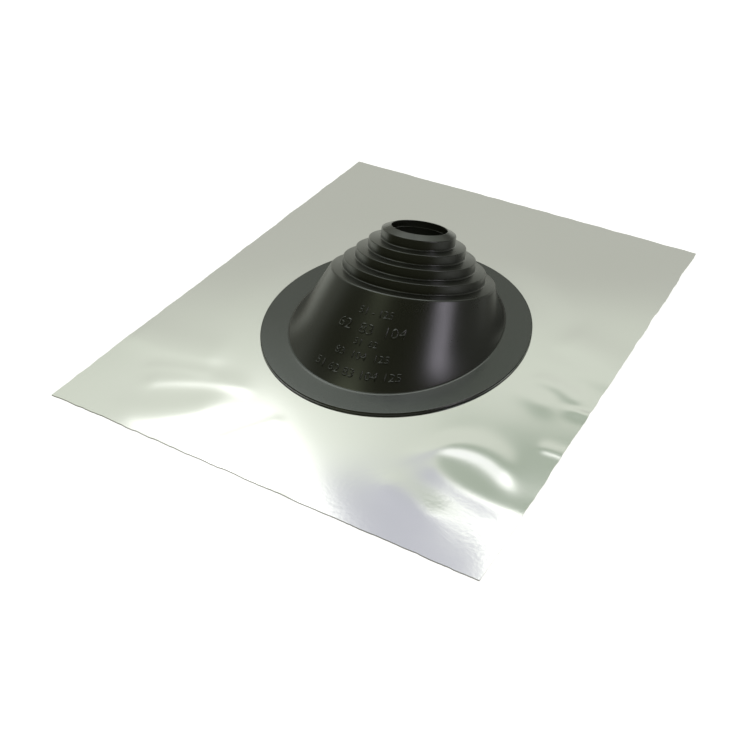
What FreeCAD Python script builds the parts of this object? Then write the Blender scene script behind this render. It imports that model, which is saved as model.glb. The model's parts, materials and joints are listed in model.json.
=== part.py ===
import FreeCAD, Part

# Pipe flashing boot: a moulded rubber boot on a soft aluminium base sheet.
#
# Frame: millimetres, +Z up. The origin is the centre of the sheet's underside.
# +Y points up the roof slope, the way the cone leans, and X runs across it.
# The boot is one moulding: an oval flange, a skirt, and a leaning stack of steps
# round the pipe's opening. The stack is cut back to the step that fits the pipe.

import os

import Sketcher

V = FreeCAD.Vector
NEAR = 0.001

# Driving dimensions. Each is set by itself.
SIZES = [
    ("sheet_width", 400, "base sheet, across the slope"),
    ("sheet_length", 500, "base sheet, up the slope"),
    ("sheet_thickness", 1, "base sheet"),
    ("flange_offset", -12.5, "centre of the flange, up the slope from the sheet's centre"),
    ("flange_thickness", 2.5, "rubber flange above the sheet"),
    ("flange_band", 26, "flange outside the skirt, at the sides"),
    ("flange_stretch", 12, "flange's half length less its half width"),
    ("flange_bevel", 0.8, "bevel of the flange's top edge"),
    ("foot_offset", 1.5, "centre of the skirt's foot, up the slope from the flange's centre"),
    ("foot_stretch", 15, "foot's half length less its half width"),
    ("foot_wall", 4, "rubber at the foot, measured level"),
    ("lip_width", 2, "rubber that goes down through the sheet's opening"),
    ("skirt_flare", 19.5, "how far the foot stands outside the shoulder, at the sides"),
    ("skirt_back_run", 10.8, "skirt at the back, measured level"),
    ("skirt_back_rise", 14.6, "skirt at the back, measured upright"),
    ("shoulder_wall", 2, "rubber at the shoulder, measured in its plane"),
    ("lean_back", 17, "lean of the cone up the slope, in degrees"),
    ("lean_side", 2.2, "slight lean of the cone towards -X, in degrees"),
    ("pipe_radius", 25.5, "opening at the top"),
    ("mouth_width", 8.5, "sloping rim round the opening"),
    ("mouth_rise", 3.6, "rise of that rim towards the opening"),
    ("tier_count", 4, "steps between the shoulder and the opening"),
    ("tier_step", 10.5, "difference in radius from one step to the next"),
    ("tier_rise", 10, "height from one step to the next"),
    ("tread_drop", 1.2, "fall of each tread towards its rim"),
    ("tread_wall", 3, "rubber of the treads"),
    ("riser_wall", 3, "rubber of the risers"),
    ("rim_bevel", 0.8, "bevel of the rims"),
]

# Dimensions that follow from them.
WORKED = [
    ("half_sheet_width", "Sizes.sheet_width / 2"),
    ("half_sheet_length", "Sizes.sheet_length / 2"),
    ("flange_top", "Sizes.sheet_thickness + Sizes.flange_thickness"),
    ("top_radius", "Sizes.pipe_radius + Sizes.mouth_width"),
    ("shoulder_radius", "top_radius + Sizes.tier_count * Sizes.tier_step"),
    ("foot_half_width", "shoulder_radius + Sizes.skirt_flare"),
    ("foot_half_length", "foot_half_width + Sizes.foot_stretch"),
    ("foot_y", "Sizes.flange_offset + Sizes.foot_offset"),
    ("flange_half_width", "foot_half_width + Sizes.flange_band"),
    ("flange_half_length", "flange_half_width + Sizes.flange_stretch"),
    ("hollow_half_width", "foot_half_width - Sizes.foot_wall"),
    ("hollow_half_length", "foot_half_length - Sizes.foot_wall"),
    ("opening_half_width", "hollow_half_width + Sizes.lip_width"),
    ("opening_half_length", "hollow_half_length + Sizes.lip_width"),
    ("shoulder_back_y", "foot_y + foot_half_length - Sizes.skirt_back_run"),
    ("shoulder_y", "shoulder_back_y - shoulder_radius * cos(Sizes.lean_back)"),
    ("shoulder_back_z", "flange_top + Sizes.skirt_back_rise"),
    ("shoulder_z", "shoulder_back_z + shoulder_radius * sin(Sizes.lean_back)"),
    ("ceiling_radius", "shoulder_radius - Sizes.shoulder_wall"),
    ("top_rise", "Sizes.tier_count * Sizes.tier_rise"),
    ("mouth_top", "top_rise + Sizes.mouth_rise"),
    ("above_mouth", "mouth_top + Sizes.tier_rise"),
    ("bevel_fall", "Sizes.rim_bevel * Sizes.tread_drop / Sizes.tier_step"),
]

# Frames for the sketches. The shoulder's own frame has its origin at the shoulder's
# centre and its Z up the leaning axis of the steps.
LEVEL = "placement(vector(0; 0; 0); rotation(vector(0; 0; 1); 0))"
QUARTER_TURN = "rotation(vector(0; 0; 1); 90)"
SHOULDER = (
    "placement(vector(0; Worked.shoulder_y; Worked.shoulder_z); "
    "rotation(vector(1; 0; 0); -Sizes.lean_back) * rotation(vector(0; 1; 0); -Sizes.lean_side))"
)
SHOULDER_RING = f"{SHOULDER} * placement(vector(0; 0; 0); {QUARTER_TURN})"
CEILING_RING = f"{SHOULDER} * placement(vector(0; 0; -Sizes.tread_wall); {QUARTER_TURN})"
SHOULDER_SECTION = f"{SHOULDER} * placement(vector(0; 0; 0); rotation(vector(1; 0; 0); 90))"

doc = FreeCAD.newDocument("PipeFlashingBoot")


def fill_sheet(name, rows):
    """A spreadsheet with one alias to a row and a note beside it."""
    sheet = doc.addObject("Spreadsheet::Sheet", name)
    for row, (alias, content, note) in enumerate(rows, start=1):
        sheet.set(f"A{row}", alias)
        sheet.set(f"B{row}", content)
        sheet.setAlias(f"B{row}", alias)
        sheet.set(f"C{row}", note)
    doc.recompute()
    return sheet


def new_body(label):
    body = doc.addObject("PartDesign::Body", label)
    body.Label = label
    return body


# ---- sketches -------------------------------------------------------------------------


def new_sketch(body, name, placement):
    """An empty sketch on the body's level plane, moved from there by a formula."""
    sketch = body.newObject("Sketcher::SketchObject", name)
    level = [plane for plane in body.Origin.OriginFeatures if plane.Role == "XY_Plane"]
    sketch.AttachmentSupport = [(level[0], "")]
    sketch.MapMode = "FlatFace"
    sketch.setExpression("AttachmentOffset", placement)
    return sketch


def number(sketch, formula):
    """The present value of a formula, which gives a sketch its first shape."""
    return float(sketch.evalExpression(formula))


def bind(sketch, constraint, name, formula):
    """Adds a named constraint and ties its value to a formula."""
    index = sketch.addConstraint(constraint)
    sketch.renameConstraint(index, name)
    sketch.setExpression(f"Constraints.{name}", formula)


def ring_sketch(body, name, placement, radius):
    """A circle about the sketch's origin."""
    sketch = new_sketch(body, name, placement)
    size = number(sketch, radius)
    ring = sketch.addGeometry(Part.Circle(V(0, 0, 0), V(0, 0, 1), size))
    sketch.addConstraint(Sketcher.Constraint("Coincident", ring, 3, -1, 1))
    bind(sketch, Sketcher.Constraint("Radius", ring, size), "radius", radius)
    return sketch


def oval_sketch(body, name, y, z, half_width, half_length):
    """A level oval. Its long axis, the sketch's local X, runs up the slope."""
    sketch = new_sketch(body, name, f"placement(vector(0; {y}; {z}); {QUARTER_TURN})")
    wide = number(sketch, half_width)
    long = number(sketch, half_length)
    oval = sketch.addGeometry(Part.Ellipse(V(long, 0, 0), V(0, wide, 0), V(0, 0, 0)))
    sketch.exposeInternalGeometry(oval)
    long_axis = oval + 1
    wide_axis = oval + 2
    sketch.addConstraint(Sketcher.Constraint("Coincident", oval, 3, -1, 1))
    sketch.addConstraint(Sketcher.Constraint("Horizontal", long_axis))
    bind(sketch, Sketcher.Constraint("Distance", long_axis, 2 * long), "long", f"2 * {half_length}")
    bind(sketch, Sketcher.Constraint("Distance", wide_axis, 2 * wide), "wide", f"2 * {half_width}")
    return sketch


def outline_sketch(body, name, placement, points):
    """A closed outline through points, each a pair of formulas. "0" puts it on an axis."""
    sketch = new_sketch(body, name, placement)
    corners = [V(number(sketch, across), number(sketch, up), 0) for across, up in points]
    following = corners[1:] + corners[:1]
    for start, end in zip(corners, following):
        sketch.addGeometry(Part.LineSegment(start, end))
    last = len(corners) - 1
    for i in range(last):
        sketch.addConstraint(Sketcher.Constraint("Coincident", i, 2, i + 1, 1))
    sketch.addConstraint(Sketcher.Constraint("Coincident", last, 2, 0, 1))
    for i, (across, up) in enumerate(points):
        if across == "0":
            sketch.addConstraint(Sketcher.Constraint("PointOnObject", i, 1, -2))
        else:
            distance = Sketcher.Constraint("DistanceX", -1, 1, i, 1, corners[i].x)
            bind(sketch, distance, f"across_{i}", across)
        if up == "0":
            sketch.addConstraint(Sketcher.Constraint("PointOnObject", i, 1, -1))
        else:
            distance = Sketcher.Constraint("DistanceY", -1, 1, i, 1, corners[i].y)
            bind(sketch, distance, f"up_{i}", up)
    return sketch


# ---- features -------------------------------------------------------------------------


def extrude(body, kind, name, sketch, length, reverse=False):
    """A pad or a pocket. A pad goes up and a pocket down, unless reversed."""
    feature = body.newObject(f"PartDesign::{kind}", name)
    feature.Profile = sketch
    feature.setExpression("Length", length)
    feature.Reversed = reverse
    doc.recompute()
    return feature


def loft(body, kind, name, first, last):
    feature = body.newObject(f"PartDesign::{kind}", name)
    feature.Profile = first
    feature.Sections = [last]
    feature.Ruled = True
    doc.recompute()
    return feature


def turn(body, kind, name, sketch):
    """A revolution or a groove about the sketch's upright axis."""
    feature = body.newObject(f"PartDesign::{kind}", name)
    feature.Profile = sketch
    feature.ReferenceAxis = (sketch, ["V_Axis"])
    feature.Angle = 360
    doc.recompute()
    return feature


def bevel(body, name, base, sketch, size):
    """Bevels the edges of the base feature that lie on the outline in a sketch."""
    names = []
    for i, edge in enumerate(base.Shape.Edges, start=1):
        middle = edge.valueAt((edge.FirstParameter + edge.LastParameter) / 2)
        ends = [vertex.Point for vertex in edge.Vertexes]
        if all(sketch.Shape.distToShape(Part.Vertex(point))[0] < NEAR for point in [middle, *ends]):
            names.append(f"Edge{i}")
    feature = body.newObject("PartDesign::Chamfer", name)
    feature.Base = (base, names)
    feature.setExpression("Size", size)
    doc.recompute()
    return feature


# ---- the stepped outline, as formulas in the shoulder's frame --------------------------


def riser_foot(tier, wall="0", drop="0"):
    """Where the riser of a tier stands on the tread below it."""
    radius = f"Worked.shoulder_radius - {tier} * Sizes.tier_step - {wall}"
    return (radius, f"{tier - 1} * Sizes.tier_rise + Sizes.tread_drop - {drop}")


def riser_top(tier, wall="0", drop="0"):
    """The top of a tier's riser, at its rim."""
    radius = f"Worked.shoulder_radius - {tier} * Sizes.tier_step - {wall}"
    return (radius, f"{tier} * Sizes.tier_rise - {drop}")


def rim_inner(tier):
    """The inner edge of the bevel on a tier's rim, on the slope of its tread."""
    radius = f"Worked.shoulder_radius - {tier} * Sizes.tier_step - Sizes.rim_bevel"
    return (radius, f"{tier} * Sizes.tier_rise + Worked.bevel_fall")


def outside_steps(tiers):
    points = [("0", "0"), ("Worked.shoulder_radius", "0")]
    for tier in tiers:
        points += [riser_foot(tier), riser_top(tier, drop="Sizes.rim_bevel"), rim_inner(tier)]
    return points + [("Sizes.pipe_radius", "Worked.mouth_top"), ("0", "Worked.mouth_top")]


def inside_steps(tiers):
    points = [("0", "-Sizes.tread_wall"), ("Worked.ceiling_radius", "-Sizes.tread_wall")]
    for tier in tiers:
        points.append(riser_foot(tier, "Sizes.riser_wall", "Sizes.tread_wall"))
        points.append(riser_top(tier, "Sizes.riser_wall", "Sizes.tread_wall"))
    return points + [
        ("Sizes.pipe_radius", "Worked.top_rise - Sizes.tread_wall"),
        ("Sizes.pipe_radius", "Worked.above_mouth"),
        ("0", "Worked.above_mouth"),
    ]


# ---- the two pieces -------------------------------------------------------------------


def opening_sketch(body, name):
    """The sheet's opening, which the boot's lip fills."""
    half_width = "Worked.opening_half_width"
    half_length = "Worked.opening_half_length"
    return oval_sketch(body, name, "Worked.foot_y", "0", half_width, half_length)


def make_base_sheet():
    body = new_body("base_sheet")
    corners = [
        ("-Worked.half_sheet_width", "-Worked.half_sheet_length"),
        ("Worked.half_sheet_width", "-Worked.half_sheet_length"),
        ("Worked.half_sheet_width", "Worked.half_sheet_length"),
        ("-Worked.half_sheet_width", "Worked.half_sheet_length"),
    ]
    outline = outline_sketch(body, "sheet_outline", LEVEL, corners)
    extrude(body, "Pad", "sheet", outline, "Sizes.sheet_thickness")
    opening = opening_sketch(body, "opening_outline")
    extrude(body, "Pocket", "opening", opening, "Sizes.sheet_thickness", reverse=True)
    return body


def make_rubber_boot():
    body = new_body("rubber_boot")
    tiers = range(1, round(sizes.tier_count) + 1)

    # The lip fills the sheet's opening, flush with the sheet's underside.
    lip = opening_sketch(body, "lip_outline")
    extrude(body, "Pad", "lip", lip, "Sizes.sheet_thickness")
    flange = oval_sketch(
        body,
        "flange_outline",
        "Sizes.flange_offset",
        "Worked.flange_top",
        "Worked.flange_half_width",
        "Worked.flange_half_length",
    )
    extrude(body, "Pad", "flange", flange, "Sizes.flange_thickness", reverse=True)

    # The skirt runs straight from its oval foot to the leaning round shoulder.
    foot = oval_sketch(
        body,
        "foot_outline",
        "Worked.foot_y",
        "Worked.flange_top",
        "Worked.foot_half_width",
        "Worked.foot_half_length",
    )
    shoulder = ring_sketch(body, "shoulder_outline", SHOULDER_RING, "Worked.shoulder_radius")
    loft(body, "AdditiveLoft", "skirt", foot, shoulder)

    steps_outline = outline_sketch(body, "steps_outline", SHOULDER_SECTION, outside_steps(tiers))
    steps = turn(body, "Revolution", "steps", steps_outline)
    bevel(body, "flange_bevel", steps, flange, "Sizes.flange_bevel")

    # The hollow follows the outside, one wall in.
    hollow_size = ("Worked.hollow_half_width", "Worked.hollow_half_length")
    hollow_foot = oval_sketch(body, "hollow_foot_outline", "Worked.foot_y", "0", *hollow_size)
    extrude(body, "Pocket", "hollow_foot", hollow_foot, "Worked.flange_top", reverse=True)
    hollow_top = oval_sketch(
        body, "hollow_skirt_outline", "Worked.foot_y", "Worked.flange_top", *hollow_size
    )
    ceiling = ring_sketch(body, "ceiling_outline", CEILING_RING, "Worked.ceiling_radius")
    loft(body, "SubtractiveLoft", "hollow_skirt", hollow_top, ceiling)
    hollow = outline_sketch(body, "hollow_steps_outline", SHOULDER_SECTION, inside_steps(tiers))
    turn(body, "Groove", "hollow_steps", hollow)
    return body


def check(bodies):
    """Stops unless every object built and each body is one sound solid."""
    for thing in doc.Objects:
        if "Invalid" in thing.State or "Error" in thing.State:
            raise RuntimeError(f"{thing.Name} did not build: {thing.State}")
        if thing.TypeId == "Sketcher::SketchObject" and not thing.FullyConstrained:
            raise RuntimeError(f"{thing.Name} is not fully constrained")
    for body in bodies:
        shape = body.Shape
        if shape.isNull() or not shape.isValid() or len(shape.Solids) != 1:
            raise RuntimeError(f"{body.Label} is not one sound solid")


sizes = fill_sheet("Sizes", [(name, str(value), note) for name, value, note in SIZES])
fill_sheet("Worked", [(name, f"={formula}", "worked out") for name, formula in WORKED])

bodies = [make_base_sheet(), make_rubber_boot()]
doc.recompute()
check(bodies)

os.makedirs("parts", exist_ok=True)
for body in bodies:
    body.Shape.exportStep(f"parts/{body.Label}.step")
    print(body.Label, round(body.Shape.Volume), "mm3")
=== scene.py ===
# %% [markdown]
# # A pipe flashing boot
# A pipe flashing boot keeps rain out where a pipe comes through a roof. A moulded rubber
# cone, stepped so that it can be cut to the pipe, stands on a soft metal sheet that is
# pressed down to the shape of the roof. This lesson dresses the finished solid model:
# it lights it, models the two pieces more finely and gives each its finish.

# %% Load the solid model
import json
import math

import bmesh
import bpy
from mathutils import Matrix, Quaternion, Vector, noise


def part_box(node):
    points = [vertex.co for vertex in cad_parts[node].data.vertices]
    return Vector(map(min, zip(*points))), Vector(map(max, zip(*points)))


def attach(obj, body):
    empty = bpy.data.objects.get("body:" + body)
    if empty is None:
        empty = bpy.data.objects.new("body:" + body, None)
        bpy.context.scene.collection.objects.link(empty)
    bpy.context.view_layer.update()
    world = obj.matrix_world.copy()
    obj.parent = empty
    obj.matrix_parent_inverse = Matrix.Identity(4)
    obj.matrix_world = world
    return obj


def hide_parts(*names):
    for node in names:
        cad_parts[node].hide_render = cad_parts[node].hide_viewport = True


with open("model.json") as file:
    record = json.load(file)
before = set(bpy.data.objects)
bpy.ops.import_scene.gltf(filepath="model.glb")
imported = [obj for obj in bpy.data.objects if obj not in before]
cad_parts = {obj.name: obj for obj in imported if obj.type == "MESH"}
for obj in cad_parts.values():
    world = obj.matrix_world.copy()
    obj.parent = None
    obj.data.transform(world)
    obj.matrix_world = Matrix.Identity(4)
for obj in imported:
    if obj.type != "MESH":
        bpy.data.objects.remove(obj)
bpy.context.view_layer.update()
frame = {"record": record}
sheet_low, sheet_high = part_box("base_sheet")
MM = 0.001

# %% [markdown]
# ## Shader maths as Python
# A node tree is easier to read as a sum than as a drawing. `Socket` wraps one output of a
# node, and adding or multiplying two of them adds the Math node that does it. `Tree.add`
# makes any other node: its settings first, then the values or links of its sockets.

# %% Sockets and trees
class Socket:
    def __init__(self, tree, output):
        self.tree = tree
        self.output = output

    def maths(self, operation, *values):
        return self.tree.add("ShaderNodeMath", dict(enumerate(values)), operation=operation)

    def __add__(self, other):
        return self.maths("ADD", self, other)

    def __mul__(self, other):
        return self.maths("MULTIPLY", self, other)

    def __sub__(self, other):
        return self.maths("SUBTRACT", self, other)

    def __rsub__(self, other):
        return self.maths("SUBTRACT", other, self)

    __radd__ = __add__
    __rmul__ = __mul__


class Tree:
    def __init__(self, tree):
        self.tree = tree
        tree.nodes.clear()

    def add(self, kind, sockets=None, out=0, **settings):
        node = self.tree.nodes.new(kind)
        for name, value in settings.items():
            setattr(node, name, value)
        for name, value in (sockets or {}).items():
            if isinstance(value, Socket):
                self.tree.links.new(value.output, node.inputs[name])
            else:
                node.inputs[name].default_value = value
        return Socket(self, node.outputs[out]) if node.outputs else node

    def split(self, vector):
        """The x, y and z of a vector."""
        parts = self.add("ShaderNodeSeparateXYZ", {0: vector}).output.node.outputs
        return [Socket(self, part) for part in parts]

    def rise(self, value, start, end):
        """0 before start, 1 after end, and a soft step between them."""
        places = {"Value": value, "From Min": start, "From Max": end}
        return self.add("ShaderNodeMapRange", places, interpolation_type="SMOOTHSTEP")

    def band(self, value, start, end, soft):
        """1 between start and end, fading over soft at each side."""
        up = self.rise(value, start - soft, start + soft)
        down = self.rise(value, end - soft, end + soft)
        return up * (1 - down)

    def mix(self, share, first, second):
        """A colour between two, or a first colour where share is 0."""
        sockets = {0: share, 6: rgba(first), 7: rgba(second)}
        return self.add("ShaderNodeMix", sockets, out=2, data_type="RGBA")


def rgba(colour):
    return colour if isinstance(colour, Socket) else (*colour, 1)


# %% [markdown]
# ## The camera
# The product lies on a table and is seen from the front, about 30 degrees round to the
# right and 38 degrees up. The camera is placed from those two angles and a distance, then
# turned by the small tilt of a camera held by hand.

# %% Camera
TURN, HEIGHT, TILT = math.radians(30.38), math.radians(38.118), math.radians(0.179)
AIM = Vector((20.25, -87.3, 0)) * MM
DISTANCE = 907.1 * MM
LENS = 50.325

SENSOR_WIDTH = 36

level_back = Vector((math.sin(TURN), -math.cos(TURN), 0))
back = level_back * math.cos(HEIGHT) + Vector((0, 0, math.sin(HEIGHT)))
camera = bpy.data.objects.new("camera", bpy.data.cameras.new("camera"))
camera.data.lens = LENS
camera.data.sensor_width = SENSOR_WIDTH
camera.data.clip_start = 0.01
facing = Quaternion(back, TILT) @ back.to_track_quat("Z", "Y")
camera.matrix_world = Matrix.Translation(AIM + back * DISTANCE) @ facing.to_matrix().to_4x4()
bpy.context.scene.collection.objects.link(camera)
bpy.context.scene.camera = camera
bpy.context.scene.view_settings.view_transform = "Standard"
print("camera, mm:", [round(v / MM, 1) for v in camera.location])

# %% [markdown]
# ## The studio
# Bare metal and black rubber show mostly what they reflect, so the light is a whole room:
# a pale wall behind with three large panels high on it, a narrow lilac panel at the right
# and a dim room in front. Each is a soft-edged patch of the sky, set by its compass angle
# and its height in degrees. Later patches cover earlier ones. The floor is a light table.

# %% Room of light
world = bpy.data.worlds.new("studio")
bpy.context.scene.world = world
world.use_nodes = True
room = Tree(world.node_tree)
direction = room.add("ShaderNodeTexCoord")
across, along, up = room.split(direction)
compass = across.maths("ARCTAN2", across, along) * math.degrees(1)
height = up.maths("ARCSINE", up) * math.degrees(1)

DIM_ROOM = (0.10, 0.10, 0.065)
RIGHT_OF_ROOM = (0.17, 0.17, 0.155)
WALL = (0.50, 0.51, 0.46)
HIGH_WALL = (0.70, 0.74, 0.65)
BETWEEN_PANELS = (0.36, 0.42, 0.34)
LOW_WALL_LEFT = (0.30, 0.30, 0.25)
LOW_WALL_RIGHT = (0.05, 0.05, 0.04)
TABLE_TOP = (0.85, 0.87, 0.78)
CEILING = (0.53, 0.535, 0.61)
FAR_END = (0.42, 0.42, 0.40)
GLOW = (1.2, 1.25, 0.90)
HALO = (1.05, 1.1, 1.0)
OVERHEAD = (0.35, 0.35, 0.32)
PANEL = (1.9, 1.92, 1.86)
LILAC_PANEL = (3.8, 3.4, 4.1)
BACKDROP = (0.96, 0.96, 0.95)

behind = room.rise(compass, -108, -88) * (1 - room.rise(compass, 12, 34))
light = room.mix(room.band(compass, 20, 84, 5), DIM_ROOM, RIGHT_OF_ROOM)
light = room.mix(behind, light, WALL)
low_wall = room.mix(room.rise(compass, -32, -20), LOW_WALL_LEFT, LOW_WALL_RIGHT)
light = room.mix(behind * (1 - room.rise(height, 12, 25)), light, low_wall)
table_top = room.band(compass, -104, 32, 6) * (1 - room.rise(height, 0, 5))
light = room.mix(table_top, light, TABLE_TOP)
far_end = room.band(compass, 32, 114, 6) * (1 - room.rise(height, -9, -3))
light = room.mix(far_end, light, FAR_END)
glow = room.band(compass, -165, -128, 12) * room.band(height, 54, 84, 8)
light = room.mix(glow, light, GLOW)
light = room.mix(behind * room.rise(height, 31, 37), light, HIGH_WALL)
halo = room.band(compass, -46, -32, 5) * room.rise(height, 36.5, 42) * 0.7
light = room.mix(halo, light, HALO)
right_edge = compass - room.rise(height, 45.5, 47) * 5
between = behind * room.rise(compass, -27, -23.5) * room.rise(height, 39.7, 41)
light = room.mix(between, light, BETWEEN_PANELS)
ceiling = behind * room.rise(height, 42.6, 44.6) * (1 - room.rise(right_edge, -27, -25.4))
light = room.mix(ceiling, light, CEILING)
print("room: walls and ceiling, from the dim front round to the back")

# %% Panels of light
beyond = -38 - compass
slant = height - beyond.maths("MAXIMUM", beyond, 0) * 0.25
left_edge = compass - (height - 45) * 0.6
left_panel = room.band(left_edge, -80, -34.4, 1.6) * room.rise(slant, 38, 40.9)
right_panel = room.band(right_edge, -26.2, 14, 0.8) * room.rise(height, 44.6, 45.6)
top_panel = behind * room.rise(height, 50, 52)
for panel in (left_panel, right_panel, top_panel):
    light = room.mix(panel, light, PANEL)
lilac = room.band(compass, 86, 105, 4) * room.band(height, 21, 39, 4)
light = room.mix(lilac, light, LILAC_PANEL)
light = room.mix(room.rise(height, 70, 80), light, OVERHEAD)

seen = room.add("ShaderNodeLightPath", out="Is Camera Ray")
light = room.mix(seen, light, BACKDROP)
shine = room.add("ShaderNodeBackground", {"Color": light, "Strength": 1.0})
room.add("ShaderNodeOutputWorld", {"Surface": shine})
world.cycles.sampling_method = "MANUAL"
world.cycles.sample_map_resolution = 1024

# %% Floor
FLOOR_SIZE = 6
FLOOR_GLOW = 0.85

floor_mesh = bmesh.new()
bmesh.ops.create_grid(floor_mesh, x_segments=1, y_segments=1, size=FLOOR_SIZE)
floor = bpy.data.objects.new("floor", bpy.data.meshes.new("floor"))
floor_mesh.to_mesh(floor.data)
floor_mesh.free()
bpy.context.scene.collection.objects.link(floor)
floor.visible_glossy = False

table = bpy.data.materials.new("light_table")
table.use_nodes = True
top = Tree(table.node_tree)
matt = top.add("ShaderNodeBsdfDiffuse", {"Color": (0.5, 0.5, 0.5, 1)})
lit = top.add("ShaderNodeEmission", {"Color": (1, 1, 1, 1), "Strength": FLOOR_GLOW})
both = top.add("ShaderNodeAddShader", {0: matt, 1: lit})
top.add("ShaderNodeOutputMaterial", {"Surface": both})
floor.data.materials.append(table)

# %% [markdown]
# ## Rings
# The boot is one moulding, closed all round: outside up to the mouth, and inside back down
# to the lip. Every level of it is a ring, round or oval. So it can be drawn out like clay
# on a wheel: one ring of edges is extruded, the new ring is moved and stretched to the next
# level, and so on until it meets the first one again.

# %% First ring and next ring
ROUND = 256


def first_ring(mesh, place):
    """A circle of edges, put in its place."""
    made = bmesh.ops.create_circle(mesh, cap_ends=False, segments=ROUND, radius=1, matrix=place)
    return list({edge for vert in made["verts"] for edge in vert.link_edges})


def next_ring(mesh, edges, here, there, cuts=0):
    """Draws a ring on from one place to the next, and cuts the new wall into bands."""
    drawn = bmesh.ops.extrude_edge_only(mesh, edges=edges)["geom"]
    verts = [item for item in drawn if isinstance(item, bmesh.types.BMVert)]
    rim = [item for item in drawn if isinstance(item, bmesh.types.BMEdge)]
    rim = [edge for edge in rim if all(vert in set(verts) for vert in edge.verts)]
    bmesh.ops.transform(mesh, matrix=there @ here.inverted(), verts=verts)
    if cuts:
        rungs = {edge for vert in verts for edge in vert.link_edges} - set(rim)
        bmesh.ops.subdivide_edges(mesh, edges=list(rungs), cuts=cuts, use_grid_fill=True)
    return rim


# %% [markdown]
# ## The boot's sizes
# The oval foot lies level on the sheet. The round shoulder leans 17 degrees up the slope
# and a little to one side, and all the steps are turned about its axis. The pipe's seat in
# the record gives that axis, and the steps are measured down from it.

# %% Places of the rings
SEAL = next(mount for mount in frame["record"]["mounts"] if mount["name"] == "pipe_seal")
PIPE = SEAL["dims"]["r_mm"]
TIERS, STEP, RISE, DROP = 4, 10.5, 10, 1.2
MOUTH_WIDTH, MOUTH_RISE, WALL_MM = 8.5, 3.6, 3
SHOULDER_WALL, FLANGE_MM = 2, 2.5
TOP = TIERS * RISE
MOUTH_TOP = TOP + MOUTH_RISE
SHOULDER = PIPE + MOUTH_WIDTH + TIERS * STEP

lean = Vector(SEAL["axis"]).normalized()
side = Vector((0, 1, 0)).cross(lean).normalized()
seat = Vector(SEAL["pos_m"]) - lean * (MOUTH_TOP + TOP - WALL_MM) / 2 * MM
tilt = Matrix((side, lean.cross(side), lean)).transposed().to_4x4()
SHEET_TOP = sheet_high.z / MM
FLANGE_TOP = SHEET_TOP + FLANGE_MM
print("shoulder centre, mm:", [round(v / MM, 2) for v in seat])


def stacked(radius, rise):
    """A round ring on the leaning axis, rise above the shoulder."""
    size = Matrix.Diagonal((radius * MM, radius * MM, 1, 1))
    return Matrix.Translation(seat + lean * rise * MM) @ tilt @ size


def level(half_width, half_length, y, z):
    """A level oval ring."""
    size = Matrix.Diagonal((half_width * MM, half_length * MM, 1, 1))
    return Matrix.Translation(Vector((0, y, z)) * MM) @ size


# %% [markdown]
# ## The boot's rings, in order
# They run from the lip under the sheet, out round the flange, up the skirt and the steps
# to the mouth, and down again inside. Rings whose corner is rounded in the mould carry
# that radius with them.

# %% List of rings
FOOT_Y, FLANGE_Y = -11, -12.5
FLANGE = (121.5, 133.5)
FOOT = (95.5, 110.5)
OPENING = (93.5, 108.5)
INNER_FOOT = (89, 104)
HOLLOW = (91.5, 106.5)
FLARE, FLARED = 3, 0.4


def skirt_ring(share):
    """A ring of the skirt, share of the way up. Below FLARED it curves out a little."""
    spread = FLARE * max(0, 1 - share / FLARED) ** 2
    half_width, half_length = (size - FLARE + spread for size in FOOT)
    foot = level(half_width, half_length, FOOT_Y, FLANGE_TOP)
    return foot * (1 - share) + stacked(SHOULDER, 0) * share


# Each is its place, the radius of its corner, and the cuts in the wall up to the next.
rings = [
    (level(*OPENING, FOOT_Y, 0), 0, 0),
    (level(*OPENING, FOOT_Y, SHEET_TOP), 0, 2),
    (level(*FLANGE, FLANGE_Y, SHEET_TOP), 0, 0),
    (level(*FLANGE, FLANGE_Y, FLANGE_TOP), 0.9, 3),
    (skirt_ring(0), 1.4, 0),
]
rings += [(skirt_ring(step / 6 * FLARED), 0, 0) for step in range(1, 6)]
rings += [(skirt_ring(FLARED), 0, 8), (skirt_ring(1), 1.0, 0)]
for tier in range(1, TIERS + 1):
    radius = SHOULDER - tier * STEP
    rings.append((stacked(radius, (tier - 1) * RISE + DROP), 0.9, 1))
    rings.append((stacked(radius, tier * RISE), 0.7, 0))
rings.append((stacked(PIPE, MOUTH_TOP), 0.8, 1))
rings.append((stacked(PIPE, TOP - WALL_MM), 0.5, 0))
for tier in range(TIERS, 0, -1):
    radius = SHOULDER - tier * STEP - WALL_MM
    rings.append((stacked(radius, tier * RISE - WALL_MM), 0.8, 0))
    rings.append((stacked(radius, (tier - 1) * RISE + DROP - WALL_MM), 0.8, 0))
rings.append((stacked(SHOULDER - SHOULDER_WALL, -WALL_MM), 1.0, 8))
rings.append((level(*INNER_FOOT, FOOT_Y, FLANGE_TOP + 1), 2.0, 0))
rings.append((level(*HOLLOW, FOOT_Y, 0), 0, 0))

# %% Draw the rings and round their corners
boot_mesh = bmesh.new()
loops = [first_ring(boot_mesh, rings[0][0])]
for i, (here, _, cuts) in enumerate(rings):
    there = rings[(i + 1) % len(rings)][0]
    loops.append(next_ring(boot_mesh, loops[i], here, there, cuts))
bmesh.ops.remove_doubles(boot_mesh, verts=boot_mesh.verts, dist=0.001 * MM)
bmesh.ops.recalc_face_normals(boot_mesh, faces=boot_mesh.faces)
for loop, (_, radius, _) in zip(loops, rings):
    if radius:
        bmesh.ops.bevel(
            boot_mesh,
            geom=loop,
            offset=radius * MM,
            segments=4,
            profile=0.5,
            affect="EDGES",
            material=-1,
        )


def tell(name, mesh):
    """Prints a mesh's faces and its open edges, of which a closed piece has none."""
    open_edges = sum(not edge.is_manifold for edge in mesh.edges)
    print(name + ":", len(mesh.faces), "faces, open edges:", open_edges)


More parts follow.
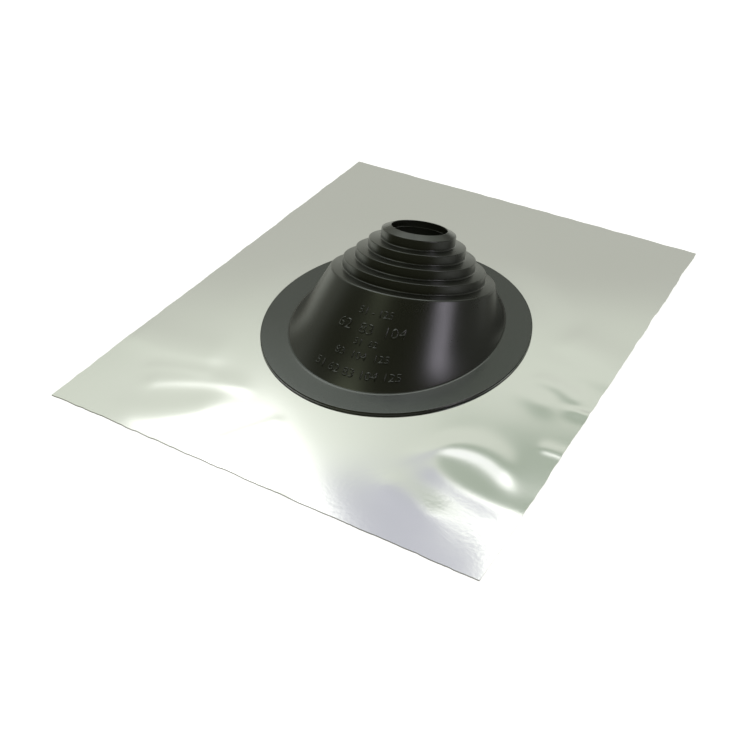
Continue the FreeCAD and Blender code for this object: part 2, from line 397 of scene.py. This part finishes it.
tell("boot", boot_mesh)
print("rubber, cm3:", round(boot_mesh.calc_volume() / MM**3 / 1000, 1))


# %% [markdown]
# ## Raised numbers
# The mould leaves rows of low marks on the front of the skirt. Here they are plain
# numbers, the pipe sizes that the steps fit. A text object is made a mesh, and every
# vertex of it is wrapped on the skirt: across becomes a turn, up becomes a climb.

# %% Place on the skirt
def on_skirt(turn, share):
    """A point on the skirt: turn in radians from the front, share of the way up."""
    around = Vector((math.sin(turn), -math.cos(turn), 0))
    return skirt_ring(share) @ around


FACES = 0.14
CLIMB = (on_skirt(0, 1) - on_skirt(0, 0)).length / MM
GIRTH = on_skirt(math.pi / 2, 0.5).x / MM
print("skirt, mm: climb", round(CLIMB, 1), "half width half way up", round(GIRTH, 1))


def wrapped(point, middle):
    """A digit's vertex, in mm, put on the skirt. Its row stands middle mm up the skirt."""
    turn, share = FACES + point.x / GIRTH, (middle + point.y) / CLIMB
    across = on_skirt(turn + 0.01, share) - on_skirt(turn - 0.01, share)
    upward = on_skirt(turn, share + 0.01) - on_skirt(turn, share - 0.01)
    return on_skirt(turn, share) + across.cross(upward).normalized() * point.z * MM


# %% Rows of numbers
RAISED = 0.45
# Each row: its digits, their height in mm, and how far up the skirt they stand.
ROWS = [
    ("51 - 125", 10, 66),
    ("62  83  104", 14, 49),
    ("51  62", 8.5, 38.5),
    ("83  104  125", 9.5, 26),
    ("51 62 83 104 125", 10.5, 10),
]
for body, size, middle in ROWS:
    text = bpy.data.curves.new("numbers", "FONT")
    text.body, text.size, text.extrude = body, size, RAISED
    text.align_x, text.resolution_u = "CENTER", 3
    digits = bpy.data.meshes.new_from_object(bpy.data.objects.new("numbers", text))
    for vert in digits.vertices:
        vert.co = wrapped(vert.co, middle)
    boot_mesh.from_mesh(digits)
bmesh.ops.remove_doubles(boot_mesh, verts=boot_mesh.verts, dist=0.001 * MM)
tell("boot with numbers", boot_mesh)


# %% From a bmesh to a piece
def piece(name, mesh, node, material):
    """An object made of a finished bmesh. It stands for a node of the solid model."""
    thing = bpy.data.objects.new(name, bpy.data.meshes.new(name))
    mesh.to_mesh(thing.data)
    mesh.free()
    bpy.context.scene.collection.objects.link(thing)
    thing.data.shade_smooth()
    thing.data.materials.append(material)
    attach(thing, "root")
    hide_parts(node)
    return thing


# %% [markdown]
# ## Moulded rubber
# EPDM rubber is black, with a satin skin from the mould. The level top of the flange is painted a
# cooler grey than the steep faces, and much lighter towards the front: a painted reflection of the
# bright room.

# %% Rubber
def finish(name):
    """A new material, its tree and the Object coordinates that its patterns follow."""
    material = bpy.data.materials.new(name)
    material.use_nodes = True
    tree = Tree(material.node_tree)
    place = tree.add("ShaderNodeTexCoord", out="Object")
    return material, tree, place


rubber, tree, place = finish("black_rubber")
normal = tree.add("ShaderNodeNewGeometry", out="Normal")
_, _, upward = tree.split(normal)
_, y, z = tree.split(place)
level_face = tree.rise(upward, 0.80, 0.97) * (1 - tree.rise(z, 0.006, 0.012))
grain = tree.add("ShaderNodeTexNoise", {"Vector": place, "Scale": 900, "Detail": 3})
cloud = tree.add("ShaderNodeTexNoise", {"Vector": place, "Scale": 30, "Detail": 3})
# Painted reflection: the flange's level top is coloured lighter and cooler, most of all at the
# front.
front = 1 - tree.rise(y, -0.14, -0.06)
painted_sheen = tree.mix(front, (0.006, 0.0078, 0.0075), (0.040, 0.048, 0.049))
black = tree.mix(level_face, (0.0060, 0.0064, 0.0034), painted_sheen)
black = tree.mix(cloud * 0.5, black, (0.011, 0.0115, 0.008))
roughness = 0.29 - 0.08 * level_face + 0.08 * (cloud - 0.5) + 0.05 * (grain - 0.5)
bump = tree.add("ShaderNodeBump", {"Strength": 0.12, "Distance": 0.0002, "Height": grain})
skin = tree.add(
    "ShaderNodeBsdfPrincipled",
    {
        "Base Color": black,
        "Roughness": roughness,
        "Normal": bump,
        "Specular IOR Level": 1.0,
        "Specular Tint": (0.94, 1.0, 0.94, 1),
    },
)
tree.add("ShaderNodeOutputMaterial", {"Surface": skin})

boot = piece("boot", boot_mesh, "rubber_boot", rubber)
even = boot.modifiers.new("even shading", "WEIGHTED_NORMAL")
even.weight = 100

# %% [markdown]
# ## The soft sheet
# The sheet is soft annealed aluminium, bent by hand and by being carried. It lies flat
# under the flange and waves gently outside it. It is a fine grid with an oval opening,
# pushed up and down by a few waves and dents, and then given its thickness.

# %% Grid with an oval opening
STRIDE = 2.5
wide, long = (sheet_high - sheet_low).x, (sheet_high - sheet_low).y
sheet_mesh = bmesh.new()
bmesh.ops.create_grid(
    sheet_mesh, x_segments=round(wide / MM / STRIDE), y_segments=round(long / MM / STRIDE), size=0.5
)
bmesh.ops.scale(sheet_mesh, vec=(wide, long, 1), verts=sheet_mesh.verts)


def oval_reach(point, half_width, half_length, y):
    """1 on an oval's outline, less inside it and more outside."""
    return math.hypot(point.x / MM / half_width, (point.y / MM - y) / half_length)


inside = [vert for vert in sheet_mesh.verts if oval_reach(vert.co, *OPENING, FOOT_Y) < 1]
bmesh.ops.delete(sheet_mesh, geom=inside, context="VERTS")
for vert in sheet_mesh.verts:
    reach = oval_reach(vert.co, *OPENING, FOOT_Y)
    if vert.is_boundary and reach < 1.2:
        vert.co.x /= reach
        vert.co.y = FOOT_Y * MM + (vert.co.y - FOOT_Y * MM) / reach
print("sheet grid:", len(sheet_mesh.faces), "faces")

# %% Creases and waves
# Creases: start and end of the crest in mm, its bow, its reach to the right and to the
# left of the way it runs, and its height. Soft metal carries the marks of every hand.
CREASES = [
    ((118, -136), (165, -136), 7, 14, 16, 0.52),
    ((122, -164), (200, -178), -4, 13, 13, 0.28),
    ((104, -200), (136, -212), 0, 14, 14, 0.22),
    ((186, -102), (215, -100), 0, 5, 8, 0.20),
    ((-136, -190), (-70, -160), 4, 9, 16, 0.24),
    ((-124, -234), (-80, -204), -3, 18, 22, 0.42),
    ((-190, -150), (-120, -140), -3, 16, 30, 0.30),
    ((-150, -176), (-110, -160), 2, 7, 9, 0.10),
    ((146, -22), (180, -30), 3, 10, 14, 0.42),
    ((190, -46), (212, -44), 0, 9, 4, 0.30),
    ((110, -40), (160, -50), 2, 12, 16, 0.34),
    ((150, 36), (215, 20), 2, 16, 30, 0.42),
    ((120, 8), (200, 4), -2, 14, 16, 0.30),
    ((-42, -222), (-18, -182), 0, 5, 6, 0.09),
    ((15, -256), (35, -256), 0, 10, 9, 0.30),
]


def crease(point, start, end, bow, right, left, rise):
    """The height of a rounded crease at a point."""
    run = Vector(end) - Vector(start)
    away = Vector(point.xy) / MM - Vector(start)
    share = away.dot(run) / run.length_squared
    off = run.cross(away) / run.length - 4 * bow * share * (1 - share)
    past = (share - min(1, max(0, share))) * run.length
    reach = right if off < 0 else left
    return rise * math.exp(-((off / reach) ** 2) - (past / (1.2 * right)) ** 2)


def wave(point, centre, heading, length, rise, reach):
    """A long, low ripple round a centre that dies away with distance."""
    away = Vector(point.xy) / MM - Vector(centre)
    travel = away.x * math.sin(math.radians(heading)) + away.y * math.cos(math.radians(heading))
    fade = math.exp(-((away.length / reach) ** 2))
    return rise * fade * (0.5 - 0.5 * math.cos(2 * math.pi * travel / length))


for vert in sheet_mesh.verts:
    loose = min(1, max(0, (oval_reach(vert.co, 123.5, 135.5, -12.5) - 1) * 3))
    loose = loose * loose * (3 - 2 * loose)
    lift = sum(crease(vert.co, *shape) for shape in CREASES)
    lift += wave(vert.co, (60, 180), -35, 210, 0.35, 260)
    vert.co.z = (SHEET_TOP + loose * lift) * MM
    if vert.is_boundary and loose > 0.5:
        frayed = noise.noise_vector(vert.co * 60) + noise.noise_vector(vert.co * 260) * 0.4
        vert.co.xy += frayed.xy * 0.9 * MM
lift = max(vert.co.z for vert in sheet_mesh.verts) / MM - SHEET_TOP
print("sheet lifts up to, mm:", round(lift, 2))

# %% Thickness
faces = bmesh.ops.extrude_face_region(sheet_mesh, geom=list(sheet_mesh.faces))
under = [item for item in faces["geom"] if isinstance(item, bmesh.types.BMVert)]
bmesh.ops.translate(sheet_mesh, vec=(0, 0, -SHEET_TOP * MM), verts=under)
bmesh.ops.recalc_face_normals(sheet_mesh, faces=sheet_mesh.faces)
for edge in sheet_mesh.edges:
    edge.smooth = edge.calc_face_angle() < math.radians(40)
tell("sheet", sheet_mesh)

# %% Aluminium
aluminium, tree, place = finish("soft_aluminium")
cloud = tree.add("ShaderNodeTexNoise", {"Vector": place, "Scale": 9, "Detail": 4})
speckle = tree.add("ShaderNodeTexNoise", {"Vector": place, "Scale": 300, "Detail": 4})
tarnish = tree.mix(cloud, (0.88, 0.89, 0.86), (0.90, 0.90, 0.89))
x, y, _ = tree.split(place)
handled = tree.rise(x, 0.03, 0.09) * (1 - tree.rise(y, -0.20, -0.16))
mottle = speckle * (0.15 + handled * 0.85)
bump = tree.add("ShaderNodeBump", {"Strength": 1.0, "Distance": 0.00002, "Height": mottle})
metal = tree.add(
    "ShaderNodeBsdfPrincipled",
    {"Base Color": tarnish, "Roughness": 0.085 + 0.03 * cloud, "Metallic": 1.0, "Normal": bump},
)
tree.add("ShaderNodeOutputMaterial", {"Surface": metal})

piece("sheet", sheet_mesh, "base_sheet", aluminium)
